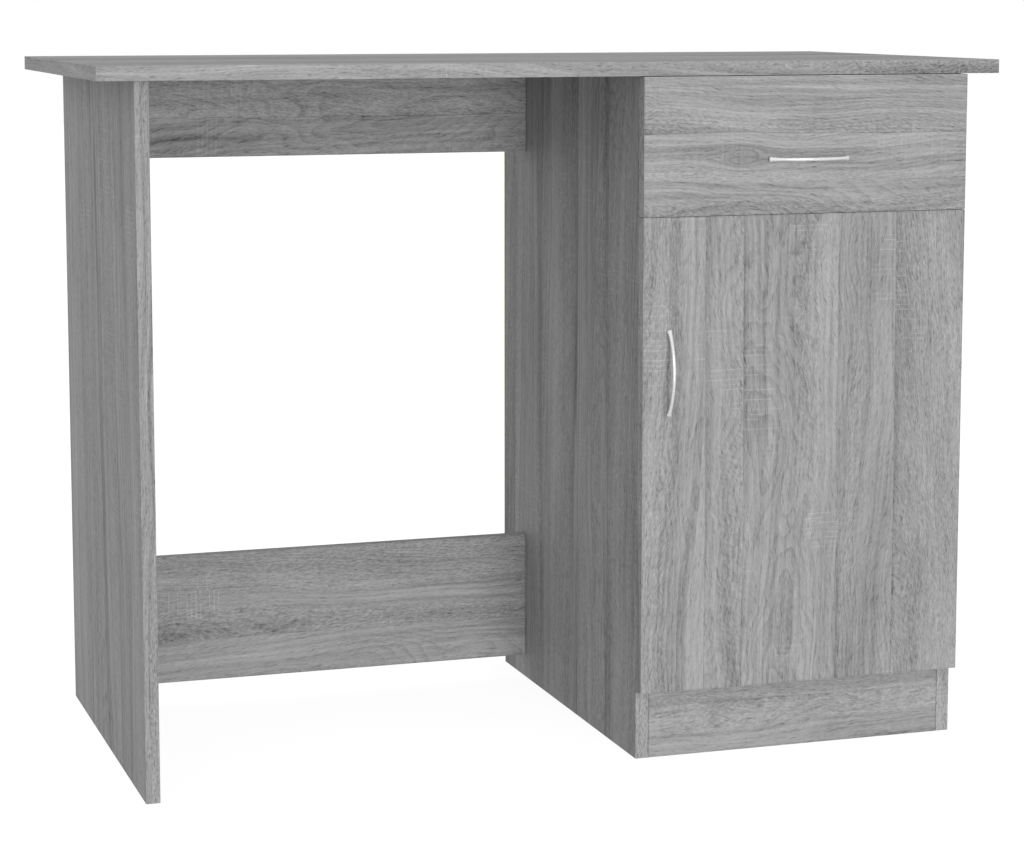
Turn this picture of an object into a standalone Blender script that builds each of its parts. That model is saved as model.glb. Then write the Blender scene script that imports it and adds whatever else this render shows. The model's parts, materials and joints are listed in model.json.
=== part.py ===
"""Writing desk: a panel leg on the left, a pedestal with one drawer over one door on the right.

The front of the desk faces -Y, +X is the right-hand side and the floor is Z = 0.
"""

import math

import bmesh
import bpy
from mathutils import Matrix, Vector

# Driving dimensions, in metres
DESK_WIDTH = 1.000
DESK_DEPTH = 0.500
DESK_HEIGHT = 0.760
BOARD = 0.015
SIDE_OVERHANG = 0.040
CARCASS_SETBACK = 0.013       # from the top's front edge to the panels' front edges
CARCASS_DEPTH = 0.460
PEDESTAL_WIDTH = 0.380
PLINTH_HEIGHT = 0.076
DRAWER_FRONT_LOW = 0.5955     # height of the seam between the door and the drawer front
FRONT_SEAM = 0.0005
TOP_CLEARANCE = 0.0006        # between the drawer front and the top
RAIL_SETBACK = 0.379          # from the panels' front edges to the modesty rails
UPPER_RAIL_HEIGHT = 0.100
LOWER_RAIL_LOW = 0.028
LOWER_RAIL_HEIGHT = 0.150
HARDBOARD = 0.003
DRAWER_BOARD = 0.012
DRAWER_LENGTH = 0.400
DRAWER_SIDE_HEIGHT = 0.100
SHELF_LOW = 0.330
HANDLE_SPACING = 0.090
HANDLE_REACH = 0.0185
HANDLE_FOOT = 0.0026          # radius of a handle's round foot
DRAWER_HANDLE_RISE = 0.0595   # from the drawer front's lower edge to its handle
DOOR_HANDLE_INSET = 0.0295    # from the door's free edge to its handle
DOOR_HANDLE_HEIGHT = 0.4275
RUNNER_SPACE = 0.0126         # between a drawer side and the pedestal's side
ROLLER_RADIUS = 0.009
HINGE_INSET = 0.080           # from the door's top and bottom to the hinges
CUP_RADIUS = 0.0173
CUP_DEPTH = 0.0113
PIN_BORE = 0.0013
GAP = 0.0003                  # kept between pieces that touch
EDGE = 0.0003                 # eased edge of a laminated board

# Places that follow from them
FRONT_GAP = 0.001
FRONT_PROUD = BOARD + FRONT_GAP - CARCASS_SETBACK
DEPTH_OVERALL = DESK_DEPTH + FRONT_PROUD + HANDLE_REACH
TOP_FRONT = -DEPTH_OVERALL / 2 + FRONT_PROUD + HANDLE_REACH
TOP_LOW = DESK_HEIGHT - BOARD
CARCASS_FRONT = TOP_FRONT + CARCASS_SETBACK
CARCASS_BACK = CARCASS_FRONT + CARCASS_DEPTH
FACE_BACK = CARCASS_FRONT - FRONT_GAP
FACE_FRONT = FACE_BACK - BOARD
OUTER_X = DESK_WIDTH / 2 - SIDE_OVERHANG
PEDESTAL_LEFT = OUTER_X - PEDESTAL_WIDTH
PEDESTAL_MIDDLE = OUTER_X - PEDESTAL_WIDTH / 2
INNER_HALF = PEDESTAL_WIDTH / 2 - BOARD
SEAM_MIDDLE = DRAWER_FRONT_LOW - FRONT_SEAM / 2
RAIL_FRONT = CARCASS_FRONT + RAIL_SETBACK
RAIL_MIDDLE = RAIL_FRONT + BOARD / 2
DRAWER_HALF = INNER_HALF - RUNNER_SPACE
DRAWER_LOW = SEAM_MIDDLE + BOARD / 2 + 0.020
DRAWER_TOP = DRAWER_LOW + DRAWER_SIDE_HEIGHT
DRAWER_BACK = FACE_BACK + GAP + DRAWER_LENGTH
HINGE_HEIGHTS = {"lower": PLINTH_HEIGHT + HINGE_INSET, "upper": DRAWER_FRONT_LOW - HINGE_INSET}
LINK_PIVOT = Vector((OUTER_X - 0.0280, CARCASS_FRONT + 0.0015, 0))
CUP_PIVOT = Vector((OUTER_X - 0.0075, CARCASS_FRONT - 0.0060, 0))
CUP_MIDDLE = OUTER_X - 0.0206

AXES = {"x": Vector((1, 0, 0)), "y": Vector((0, 1, 0)), "z": Vector((0, 0, 1))}


def clear_scene():
    for thing in list(bpy.data.objects):
        bpy.data.objects.remove(thing, do_unlink=True)


def finish(name, colour, roughness, metallic):
    """A material by colour, roughness and metallic value."""
    material = bpy.data.materials.new(name)
    material.use_nodes = True
    shader = material.node_tree.nodes["Principled BSDF"]
    shader.inputs["Base Color"].default_value = (*colour, 1.0)
    shader.inputs["Roughness"].default_value = roughness
    shader.inputs["Metallic"].default_value = metallic
    return material


def place(name, mesh, material, location=(0, 0, 0)):
    """Turns a bmesh into an object whose origin is at location."""
    data = bpy.data.meshes.new(name)
    mesh.to_mesh(data)
    mesh.free()
    piece = bpy.data.objects.new(name, data)
    piece.location = location
    if material is None:
        piece.hide_render = True
        piece.display_type = "WIRE"
    else:
        data.materials.append(material)
    bpy.context.scene.collection.objects.link(piece)
    return piece


def block(name, low, high, material):
    """A plain box between two corners, with its origin in its middle."""
    low, high = Vector(low), Vector(high)
    mesh = bmesh.new()
    bmesh.ops.create_cube(mesh, size=1.0, matrix=Matrix.Diagonal((*(high - low), 1.0)))
    return place(name, mesh, material, (low + high) / 2)


def board(name, low, high, material):
    """A box with eased edges."""
    piece = block(name, low, high, material)
    bevel = piece.modifiers.new("eased_edges", "BEVEL")
    bevel.width = EDGE
    bevel.segments = 1
    return piece


def along(direction):
    """The rotation that takes +Z to direction."""
    turn = AXES["z"].rotation_difference(Vector(direction).normalized())
    return turn.to_matrix().to_4x4()


def turned(name, profile, start, direction, material, sides=20):
    """A solid of revolution from (radius, distance) pairs; the distances run from start along direction."""
    mesh = bmesh.new()
    corners = [mesh.verts.new((radius, 0, distance)) for radius, distance in profile]
    pairs = list(zip(corners, corners[1:]))
    if profile[0][0] > 0 or profile[-1][0] > 0:
        pairs.append((corners[-1], corners[0]))
    edges = [mesh.edges.new(pair) for pair in pairs]
    bmesh.ops.spin(
        mesh,
        geom=corners + edges,
        cent=(0, 0, 0),
        axis=(0, 0, 1),
        angle=2 * math.pi,
        steps=sides,
        use_merge=True,
    )
    bmesh.ops.remove_doubles(mesh, verts=mesh.verts, dist=1e-6)
    bmesh.ops.dissolve_degenerate(mesh, dist=1e-7, edges=mesh.edges)
    bmesh.ops.transform(mesh, matrix=along(direction), verts=mesh.verts)
    bmesh.ops.recalc_face_normals(mesh, faces=mesh.faces)
    piece = place(name, mesh, material, start)
    piece.data.shade_smooth()
    piece.data.set_sharp_from_angle(angle=math.radians(35))
    return piece


def rod(name, start, direction, radius, length, material, sides=20):
    """A plain cylinder from start along direction."""
    profile = [(0, 0), (radius, 0), (radius, length), (0, length)]
    return turned(name, profile, start, direction, material, sides)


def extruded(name, outline, axis, low, high, material):
    """A closed outline carried along axis from low to high; its points are x, z on "y" and x, y on "z"."""
    mesh = bmesh.new()
    lift = {"y": lambda a, b: (a, low, b), "z": lambda a, b: (a, b, low)}[axis]
    face = mesh.faces.new([mesh.verts.new(lift(a, b)) for a, b in outline])
    grown = bmesh.ops.extrude_face_region(mesh, geom=[face])["geom"]
    moved = [item for item in grown if isinstance(item, bmesh.types.BMVert)]
    bmesh.ops.translate(mesh, vec=AXES[axis] * (high - low), verts=moved)
    bmesh.ops.recalc_face_normals(mesh, faces=mesh.faces)
    return place(name, mesh, material)


def combine(piece, other, operation):
    """Boolean between piece and a hidden helper."""
    step = piece.modifiers.new(other.name, "BOOLEAN")
    step.operation = operation
    step.solver = "EXACT"
    step.object = other


def cut_rod(piece, start, direction, radius, length, sides=20):
    """Bores piece from start along direction; the bore starts 1 mm outside."""
    direction = Vector(direction).normalized()
    start = Vector(start) - direction * 0.001
    tool = rod(f"{piece.name}_cutter", start, direction, radius, length + 0.001, None, sides)
    combine(piece, tool, "DIFFERENCE")


def cut_block(piece, low, high):
    combine(piece, block(f"{piece.name}_cutter", low, high, None), "DIFFERENCE")


def join_block(piece, low, high):
    combine(piece, block(f"{piece.name}_addition", low, high, None), "UNION")


def join_rod(piece, start, direction, radius, length, sides=20):
    tool = rod(f"{piece.name}_addition", start, direction, radius, length, None, sides)
    combine(piece, tool, "UNION")


def pivot(name, location, pieces):
    """An empty on a joint's axis, which carries the pieces that move about it or along it."""
    empty = bpy.data.objects.new(name, None)
    empty.location = location
    bpy.context.scene.collection.objects.link(empty)
    bpy.context.view_layer.update()
    for piece in pieces:
        piece.parent = empty
        piece.matrix_parent_inverse = empty.matrix_world.inverted()
    return empty


def make_finishes():
    return {
        "oak": finish("grey_oak_board", (0.35, 0.35, 0.36), 0.55, 0.0),
        "drawer": finish("drawer_box_board", (0.62, 0.62, 0.62), 0.50, 0.0),
        "hardboard": finish("hardboard", (0.48, 0.31, 0.18), 0.70, 0.0),
        "nickel": finish("bright_nickel", (0.80, 0.80, 0.80), 0.22, 1.0),
        "zinc": finish("zinc_fittings", (0.62, 0.63, 0.65), 0.38, 1.0),
        "runner": finish("coated_steel", (0.82, 0.82, 0.80), 0.40, 0.0),
        "nylon": finish("nylon", (0.85, 0.85, 0.83), 0.45, 0.0),
    }


def make_panels(finishes):
    """The desk's fixed boards, by name."""
    oak = finishes["oak"]
    inner_left = PEDESTAL_LEFT + BOARD + GAP
    inner_right = OUTER_X - BOARD - GAP
    rail_left = -OUTER_X + BOARD + GAP
    rail_right = PEDESTAL_LEFT - GAP
    back = CARCASS_BACK - GAP
    upright_top = TOP_LOW - GAP
    shelf_play, shelf_setback, shelf_back_gap = 0.0005, 0.035, 0.008
    corners = {
        "top_panel": (
            (-DESK_WIDTH / 2, TOP_FRONT, TOP_LOW),
            (DESK_WIDTH / 2, TOP_FRONT + DESK_DEPTH, DESK_HEIGHT),
        ),
        "leg_panel_left": (
            (-OUTER_X, CARCASS_FRONT, 0),
            (-OUTER_X + BOARD, CARCASS_BACK, upright_top),
        ),
        "pedestal_side_left": (
            (PEDESTAL_LEFT, CARCASS_FRONT, 0),
            (PEDESTAL_LEFT + BOARD, CARCASS_BACK, upright_top),
        ),
        "pedestal_side_right": (
            (OUTER_X - BOARD, CARCASS_FRONT, 0),
            (OUTER_X, CARCASS_BACK, upright_top),
        ),
        "modesty_rail_upper": (
            (rail_left, RAIL_FRONT, TOP_LOW - UPPER_RAIL_HEIGHT),
            (rail_right, RAIL_FRONT + BOARD, upright_top),
        ),
        "modesty_rail_lower": (
            (rail_left, RAIL_FRONT, LOWER_RAIL_LOW),
            (rail_right, RAIL_FRONT + BOARD, LOWER_RAIL_LOW + LOWER_RAIL_HEIGHT),
        ),
        "pedestal_base": (
            (inner_left, CARCASS_FRONT, PLINTH_HEIGHT + GAP),
            (inner_right, back, PLINTH_HEIGHT + GAP + BOARD),
        ),
        "plinth": (
            (inner_left, CARCASS_FRONT, 0),
            (inner_right, CARCASS_FRONT + BOARD, PLINTH_HEIGHT),
        ),
        "divider_panel": (
            (inner_left, CARCASS_FRONT, SEAM_MIDDLE - BOARD / 2),
            (inner_right, back, SEAM_MIDDLE + BOARD / 2),
        ),
        "inner_shelf": (
            (inner_left + shelf_play, CARCASS_FRONT + shelf_setback, SHELF_LOW),
            (inner_right - shelf_play, back - shelf_back_gap, SHELF_LOW + BOARD),
        ),
    }
    panels = {name: board(name, low, high, oak) for name, (low, high) in corners.items()}
    panels["back_panel"] = block(
        "back_panel",
        (PEDESTAL_LEFT, CARCASS_BACK + GAP, PLINTH_HEIGHT + 0.002),
        (OUTER_X, CARCASS_BACK + GAP + HARDBOARD, TOP_LOW - 0.001),
        finishes["hardboard"],
    )
    return panels


def cam_bolt(name, panel, start, direction, size, finishes):
    """A bolt that is screwed into panel at start and reaches along direction to its cam."""
    direction = Vector(direction)
    inside, reach = size["bolt_depth"], size["cam_distance"]
    thread, shank, head = size["thread"], size["shank"], size["head"]
    profile = [
        (0, -inside),
        (thread, -inside),
        (thread, 0.0015),
        (shank, 0.0015),
        (shank, reach - 0.006),
        (thread * 0.7, reach - 0.005),
        (thread * 0.7, reach - 0.002),
        (head, reach - 0.001),
        (head, reach + 0.0015),
        (0, reach + 0.0015),
    ]
    turned(name, profile, start, direction, finishes["zinc"], 12)
    cut_rod(panel, start, -direction, thread + GAP, inside + 0.0008, 12)


def cam_lock(name, host, end, direction, face, size, finishes):
    """The cam that holds host on a bolt: the bolt enters host at end, and the cam's bore opens to face."""
    direction, face = Vector(direction), Vector(face)
    middle = Vector(end) + direction * size["cam_distance"]
    mouth = middle + face * size["to_face"]
    deep, radius = size["cam_height"], size["cam_radius"]
    slot_half, slot_width, slot_deep = 0.0030, 0.0005, 0.0018
    lock = turned(
        name,
        [(0, 0), (radius - 0.0006, 0), (radius - 0.0003, 0.0006), (radius - 0.0003, deep), (0, deep)],
        mouth - face * 0.0002,
        -face,
        finishes["zinc"],
        24,
    )
    across = direction.cross(face)
    for half, back in ((size["head"] + 0.0005, -0.0020), (size["shank"] + 0.0004, -radius - 0.001)):
        low = middle - direction * -back - across * half - face * half
        high = middle + direction * 0.0035 + across * half + face * half
        cut_block(lock, [min(a, b) for a, b in zip(low, high)], [max(a, b) for a, b in zip(low, high)])
    for spread, width in ((direction, across), (across, direction)):
        low = mouth - face * slot_deep - spread * slot_half - width * slot_width
        high = mouth + face * 0.001 + spread * slot_half + width * slot_width
        cut_block(lock, [min(a, b) for a, b in zip(low, high)], [max(a, b) for a, b in zip(low, high)])
    cut_rod(host, mouth, -face, radius, deep + 0.0006, 24)
    cut_rod(host, end, direction, size["shank"] + 0.0006, size["cam_distance"], 12)


def make_rail_fittings(panels, finishes):
    """A cam and its bolt at each end of both modesty rails, with the cams in the rails' back faces."""
    size = {
        "cam_distance": 0.024,
        "bolt_depth": 0.010,
        "cam_radius": 0.0075,
        "cam_height": 0.0122,
        "to_face": BOARD / 2,
        "thread": 0.0025,
        "shank": 0.0033,
        "head": 0.0031,
    }
    ends = {
        "left": (-OUTER_X + BOARD, 1, "leg_panel_left"),
        "right": (PEDESTAL_LEFT, -1, "pedestal_side_left"),
    }
    heights = {
        "upper": TOP_LOW - UPPER_RAIL_HEIGHT / 2,
        "lower": LOWER_RAIL_LOW + LOWER_RAIL_HEIGHT / 2,
    }
    for level, height in heights.items():
        rail = panels[f"modesty_rail_{level}"]
        for side, (x, way, panel) in ends.items():
            start = (x, RAIL_MIDDLE, height)
            cam_bolt(f"cam_bolt_{level}_{side}", panels[panel], start, (way, 0, 0), size, finishes)
            cam_lock(f"cam_lock_{level}_{side}", rail, start, (way, 0, 0), (0, 1, 0), size, finishes)


def make_shelf_pins(panels, finishes):
    """Four pins in the pedestal's sides, under the loose shelf."""
    bore, shank, head, reach = 0.0028, 0.0025, 0.0035, 0.008
    height = SHELF_LOW - head - GAP
    rows = {"front": CARCASS_FRONT + 0.085, "back": CARCASS_BACK - 0.060}
    profile = [
        (0, -reach),
        (shank, -reach),
        (shank, GAP),
        (head, GAP),
        (head, reach - 0.0005),
        (head - 0.0005, reach),
        (0, reach),
    ]
    for side, way in (("left", 1), ("right", -1)):
        wall = panels[f"pedestal_side_{side}"]
        for row, y in rows.items():
            start = (PEDESTAL_MIDDLE - way * INNER_HALF, y, height)
            turned(f"shelf_pin_{row}_{side}", profile, start, (way, 0, 0), finishes["zinc"], 16)
            cut_rod(wall, start, (-way, 0, 0), bore, reach + 0.0008, 12)


def make_handle(name, middle, run, finishes):
    """A bow handle on the face at middle, standing out along -Y, with its two feet along run."""
    run, out = Vector(run), Vector((0, -1, 0))
    across = run.cross(out)
    stations, corners = 24, 10
    half = HANDLE_SPACING / 2
    broad, thin = 0.0021, 0.0015
    low = 0.0020                # height of the bow's middle line at its feet
    rise = HANDLE_REACH - thin - low
    bow, end_swell = 2.2, 0.22

    def centre(share):
        return run * (half * share) + out * (low + rise * (1 - abs(share) ** bow))

    mesh = bmesh.new()
    rings = []
    for index in range(stations + 1):
        share = -1 + 2 * index / stations
        ahead, behind = centre(min(share + 0.01, 1)), centre(max(share - 0.01, -1))
        facing = (ahead - behind).normalized().cross(across)
        swell = 1 + end_swell * abs(share) ** 4
        ring = []
        for corner in range(corners):
            angle = 2 * math.pi * corner / corners
            offset = across * (broad * math.cos(angle)) + facing * (thin * math.sin(angle))
            ring.append(mesh.verts.new(centre(share) + offset * swell))
        rings.append(ring)
    for first, second in zip(rings, rings[1:]):
        for corner in range(corners):
            other = (corner + 1) % corners
            mesh.faces.new((first[corner], first[other], second[other], second[corner]))
    mesh.faces.new(rings[0])
    mesh.faces.new(rings[-1])
    bmesh.ops.recalc_face_normals(mesh, faces=mesh.faces)
    middle = Vector(middle)
    handle = place(name, mesh, finishes["nickel"], middle)
    handle.data.shade_smooth()
    foot_height, thread_bore, thread_depth = 0.0040, 0.0018, 0.0030
    for way in (-1, 1):
        foot = middle + run * (way * half) + out * GAP
        join_rod(handle, foot, out, HANDLE_FOOT, foot_height, 16)
        cut_rod(handle, foot, out, thread_bore, thread_depth, 12)
    return handle


def make_handle_screw(name, front, start, finishes):
    """An M3 screw from the back of front into a handle's foot; start is on the back face."""
    head, rim, head_height, shank = 0.0034, 0.0026, 0.0026, 0.0015
    tip = BOARD + 0.0026
    profile = [
        (0, -head_height),
        (rim, -head_height),
        (head, -head_height + 0.0012),
        (head, -GAP),
        (shank, -GAP),
        (shank, tip),
        (0, tip),
    ]
    screw = turned(name, profile, start, (0, -1, 0), finishes["zinc"], 16)
    x, y, z = start
    long, short, deep = 0.0020, 0.0004, 0.0012
    for wide, tall in ((long, short), (short, long)):
        low = (x - wide, y + head_height - deep, z - tall)
        high = (x + wide, y + head_height + 0.001, z + tall)
        cut_block(screw, low, high)
    cut_rod(front, start, (0, -1, 0), shank + 0.0004, BOARD + 0.001, 12)
    return screw


def make_drawer_box(finishes):
    """The drawer's front, sides, back and bottom."""
    white = finishes["drawer"]
    left, right = PEDESTAL_MIDDLE - DRAWER_HALF, PEDESTAL_MIDDLE + DRAWER_HALF
    start = FACE_BACK + GAP
    groove_rise, groove_deep, play = 0.010, 0.006, 0.0006
    groove_low = DRAWER_LOW + groove_rise
    groove_high = groove_low + HARDBOARD + 2 * GAP
    front = board(
        "drawer_front",
        (PEDESTAL_LEFT, FACE_FRONT, DRAWER_FRONT_LOW),
        (OUTER_X, FACE_BACK, TOP_LOW - TOP_CLEARANCE),
        finishes["oak"],
    )
    walls = {}
    for side, outer in (("left", left), ("right", right - DRAWER_BOARD)):
        low, high = (outer, start, DRAWER_LOW), (outer + DRAWER_BOARD, DRAWER_BACK, DRAWER_TOP)
        walls[side] = board(f"drawer_side_{side}", low, high, white)
    groove_left = left + DRAWER_BOARD - groove_deep
    groove_right = right - DRAWER_BOARD + groove_deep
    for wall in walls.values():
        low = (groove_left, start - 0.001, groove_low)
        cut_block(wall, low, (groove_right, DRAWER_BACK + 0.001, groove_high))
    low = (groove_left, FACE_BACK - groove_deep, groove_low)
    cut_block(front, low, (groove_right, FACE_BACK + 0.001, groove_high))
    back = board(
        "drawer_back",
        (left + DRAWER_BOARD + GAP, DRAWER_BACK - DRAWER_BOARD, groove_high),
        (right - DRAWER_BOARD - GAP, DRAWER_BACK, DRAWER_TOP),
        white,
    )
    bottom = block(
        "drawer_bottom",
        (groove_left + play, FACE_BACK - groove_deep + 0.0008, groove_low + GAP),
        (groove_right - play, DRAWER_BACK - 0.0005, groove_low + GAP + HARDBOARD),
        finishes["hardboard"],
    )
    return front, walls, [back, bottom]


def make_drawer_fittings(front, walls, finishes):
    """Small cams in the drawer's sides, on bolts in the back of the drawer front."""
    size = {
        "cam_distance": 0.024,
        "bolt_depth": 0.010,
        "cam_radius": 0.0060,
        "cam_height": 0.0092,
        "to_face": DRAWER_BOARD / 2,
        "thread": 0.0022,
        "shank": 0.0027,
        "head": 0.0025,
    }
    for side, way in (("left", 1), ("right", -1)):
        wall_middle = PEDESTAL_MIDDLE - way * (DRAWER_HALF - DRAWER_BOARD / 2)
        start = (wall_middle, FACE_BACK, DRAWER_LOW + 0.060)
        end = (wall_middle, FACE_BACK + GAP, DRAWER_LOW + 0.060)
        cam_bolt(f"drawer_cam_bolt_{side}", front, start, (0, 1, 0), size, finishes)
        cam_lock(f"drawer_cam_{side}", walls[side], end, (0, 1, 0), (way, 0, 0), size, finishes)


def make_roller(name, start, direction, nylon):
    """A nylon wheel with rounded edges, bored for its axle."""
    bore, wide, ease = 0.0023, 0.0060, 0.0006
    profile = [
        (bore, 0),
        (ROLLER_RADIUS - ease, 0),
        (ROLLER_RADIUS, 0.0008),
        (ROLLER_RADIUS, wide - 0.0008),
        (ROLLER_RADIUS - ease, wide),
        (bore, wide),
    ]
    return turned(name, profile, start, direction, nylon, 24)


def make_axle(host, start, direction):
    """A riveted axle with a head that keeps its roller on; start is inside the sheet of its host."""
    start, direction = Vector(start), Vector(direction)
    radius, length, head, head_height = 0.0020, 0.0090, 0.0032, 0.0008
    join_rod(host, start, direction, radius, length, 12)
    join_rod(host, start + direction * (length - head_height), direction, head, head_height, 12)


def make_runners(finishes):
    """For each side the cabinet's channel, the drawer's rail and the nylon roller on each of them."""
    steel, nylon = finishes["runner"], finishes["nylon"]
    sheet = 0.001
    channel_reach, flange_end, sole = 0.0095, 0.0025, 0.012
    channel_front, channel_length, notch = CARCASS_FRONT + 0.004, 0.400, 0.026
    flange_top = DRAWER_LOW + 0.020
    channel_middle = DRAWER_LOW + 0.0073
    channel_low = channel_middle - ROLLER_RADIUS - GAP - sheet
    channel_high = channel_middle + ROLLER_RADIUS + GAP + sheet
    front_roller = (CARCASS_FRONT + 0.016, flange_top - sheet - GAP - ROLLER_RADIUS)
    back_roller = (DRAWER_BACK - 0.014, channel_middle)
    moving, rollers = [], {}
    for side, way in (("left", 1), ("right", -1)):
        wall = PEDESTAL_MIDDLE - way * INNER_HALF
        inner, lip = wall + way * GAP, wall + way * channel_reach
        web_face = inner + way * sheet
        outline = [
            (inner, channel_low),
            (lip, channel_low),
            (lip, channel_low + sheet),
            (web_face, channel_low + sheet),
            (web_face, channel_high - sheet),
            (lip, channel_high - sheet),
            (lip, channel_high),
            (inner, channel_high),
        ]
        name = f"cabinet_runner_{side}"
        channel = extruded(name, outline, "y", channel_front, channel_front + channel_length, steel)
        # The upper lip stops short at the front, where the web stands up to carry the roller
        near, far = sorted((web_face, lip + way * 0.001))
        low = (near, channel_front - 0.001, channel_high - 0.004)
        cut_block(channel, low, (far, channel_front + notch, channel_high + 0.001))
        near, far = sorted((inner, web_face))
        low = (near, channel_front, channel_high - 0.004)
        join_block(channel, low, (far, channel_front + notch, front_roller[1] + 0.004))

        web = wall + way * (RUNNER_SPACE - GAP)
        flange = wall + way * flange_end
        outline = [
            (web, DRAWER_LOW - GAP - sheet),
            (web + way * sole, DRAWER_LOW - GAP - sheet),
            (web + way * sole, DRAWER_LOW - GAP),
            (web, DRAWER_LOW - GAP),
            (web, flange_top),
            (flange, flange_top),
            (flange, flange_top - sheet),
            (web - way * sheet, flange_top - sheet),
            (web - way * sheet, DRAWER_LOW - GAP - sheet),
        ]
        name = f"drawer_runner_{side}"
        rail = extruded(name, outline, "y", FACE_BACK + 0.004, DRAWER_BACK - 0.002, steel)
        moving.append(rail)

        to_roller = 0.0016
        for host, name, centre, axle_x, axle_way in (
            (channel, f"cabinet_roller_{side}", front_roller, inner + way * sheet / 2, way),
            (rail, f"drawer_roller_{side}", back_roller, web - way * sheet / 2, -way),
        ):
            make_axle(host, (axle_x, *centre), (axle_way, 0, 0))
            start = (axle_x + axle_way * to_roller, *centre)
            rollers[name] = make_roller(name, start, (axle_way, 0, 0), nylon)
    return moving, rollers


def make_hinge(level, door, finishes):
    """One cup hinge: plate and arm on the pedestal's side, cup in the door, and a link on two pins."""
    height = HINGE_HEIGHTS[level]
    zinc, nickel = finishes["zinc"], finishes["nickel"]
    front, wall, up = CARCASS_FRONT, OUTER_X - BOARD, AXES["z"]
    link_pivot, cup_pivot = LINK_PIVOT + up * height, CUP_PIVOT + up * height

    plate_half, plate_front, plate_back, screw_spread = 0.018, front + 0.030, front + 0.056, 0.013
    plate_face = wall - 0.0040
    low = (plate_face, plate_front, height - plate_half)
    plate = board(f"hinge_plate_{level}", low, (wall - GAP, plate_back, height + plate_half), zinc)
    for way in (-1, 1):
        hole = (plate_face, front + 0.037, height + way * screw_spread)
        cut_rod(plate, hole, AXES["x"], 0.0022, 0.005, 12)

    arm_half, sheet = 0.0064, 0.0012
    arm_back, arm_outer = front + 0.060, plate_face - GAP
    arm_inner, nose = LINK_PIVOT.x - 0.0052, LINK_PIVOT.x + 0.0035
    cheeks = [
        (arm_inner, front - 0.0008),
        (nose, front - 0.0008),
        (nose, front + 0.005),
        (arm_outer, front + 0.013),
        (arm_outer, arm_back),
        (arm_inner, arm_back),
    ]
    arm = extruded(f"hinge_arm_{level}", cheeks, "z", height - arm_half, height + arm_half, nickel)
    low = (arm_inner + 0.001, front - 0.002, height - arm_half + sheet)
    cut_block(arm, low, (wall + 0.001, arm_back + 0.010, height + arm_half - sheet))
    cut_rod(arm, link_pivot - up * 0.008, up, PIN_BORE, 0.016, 12)
    cut_rod(arm, (arm_inner, front + 0.043, height), AXES["x"], 0.0024, 0.002, 12)

    bend = Vector((OUTER_X - 0.0158, front - 0.0088, 0))
    link = link_body(f"hinge_link_{level}", [LINK_PIVOT, bend, CUP_PIVOT], height, nickel)
    for point in (link_pivot, cup_pivot):
        cut_rod(link, point - up * 0.006, up, PIN_BORE, 0.012, 12)

    pin, arm_pin_half, cup_pin_half = 0.0010, 0.0068, 0.0105
    rod(f"hinge_arm_pin_{level}", link_pivot - up * arm_pin_half, up, pin, 2 * arm_pin_half, zinc, 12)
    start = cup_pivot - up * cup_pin_half
    cup_pin = rod(f"hinge_cup_pin_{level}", start, up, pin, 2 * cup_pin_half, zinc, 12)

    rim, flange_half, slot_half, flange_edge = 0.001, 0.028, 0.018, wall - 0.0012
    mouth = Vector((CUP_MIDDLE, FACE_BACK, height))
    inward = Vector((0, -1, 0))
    cup = rod(f"hinge_cup_{level}", mouth - inward * rim, inward, CUP_RADIUS, CUP_DEPTH + rim, nickel, 40)
    low = (CUP_MIDDLE - 0.0170, FACE_BACK + GAP, height - flange_half)
    join_block(cup, low, (flange_edge, FACE_BACK + rim + GAP, height + flange_half))
    cut_rod(cup, mouth - inward * 2 * rim, inward, CUP_RADIUS - 0.0008, CUP_DEPTH + 0.0012, 40)
    low = (flange_edge, FACE_BACK + 0.0004, height - slot_half)
    cut_block(cup, low, (OUTER_X, FACE_BACK + 0.003, height + slot_half))
    cut_rod(cup, cup_pivot - up * 0.014, up, PIN_BORE, 0.028, 12)
    for way in (-1, 1):
        hole = (CUP_MIDDLE - 0.006, FACE_BACK + rim + GAP, height + way * 0.0225)
        cut_rod(cup, hole, inward, 0.0020, 0.002, 12)
    cut_rod(door, mouth, inward, CUP_RADIUS + GAP, CUP_DEPTH + 0.0004, 40)
    return {"link": link, "door": [cup, cup_pin]}


def link_body(name, points, height, material):
    """A flat strap 2.5 mm thick that follows points and has a round eye at each end."""
    half, eye, tall = 0.00125, 0.0022, 0.0045
    up = AXES["z"]
    foot = up * (height - tall)
    link = rod(name, points[0] + foot, up, eye, 2 * tall, material, 16)
    for first, second in zip(points, points[1:]):
        way = (second - first).normalized()
        aside = Vector((-way.y, way.x, 0)) * half
        corners = (first - aside, second - aside, second + aside, first + aside)
        outline = [(corner.x, corner.y) for corner in corners]
        strap = extruded(f"{name}_addition", outline, "z", height - tall, height + tall, None)
        combine(link, strap, "UNION")
    join_rod(link, points[1] + foot, up, half, 2 * tall, 12)
    join_rod(link, points[-1] + foot, up, eye, 2 * tall, 16)
    return link


def make_drawer(finishes):
    """Everything that moves with the drawer, and the rollers by name."""
    front, walls, parts = make_drawer_box(finishes)
    make_drawer_fittings(front, walls, finishes)
    runners, rollers = make_runners(finishes)
    handle_z = DRAWER_FRONT_LOW + DRAWER_HANDLE_RISE
    handle = make_handle("drawer_handle", (PEDESTAL_MIDDLE, FACE_FRONT, handle_z), (1, 0, 0), finishes)
    screws = []
    for side, way in (("left", -1), ("right", 1)):
        start = (PEDESTAL_MIDDLE + way * HANDLE_SPACING / 2, FACE_BACK, handle_z)
        screws.append(make_handle_screw(f"drawer_handle_screw_{side}", front, start, finishes))
    cams = [bpy.data.objects[f"drawer_cam{kind}_{side}"] for kind in ("", "_bolt") for side in walls]
    return [front, *walls.values(), *parts, *runners, handle, *screws, *cams], rollers


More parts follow.
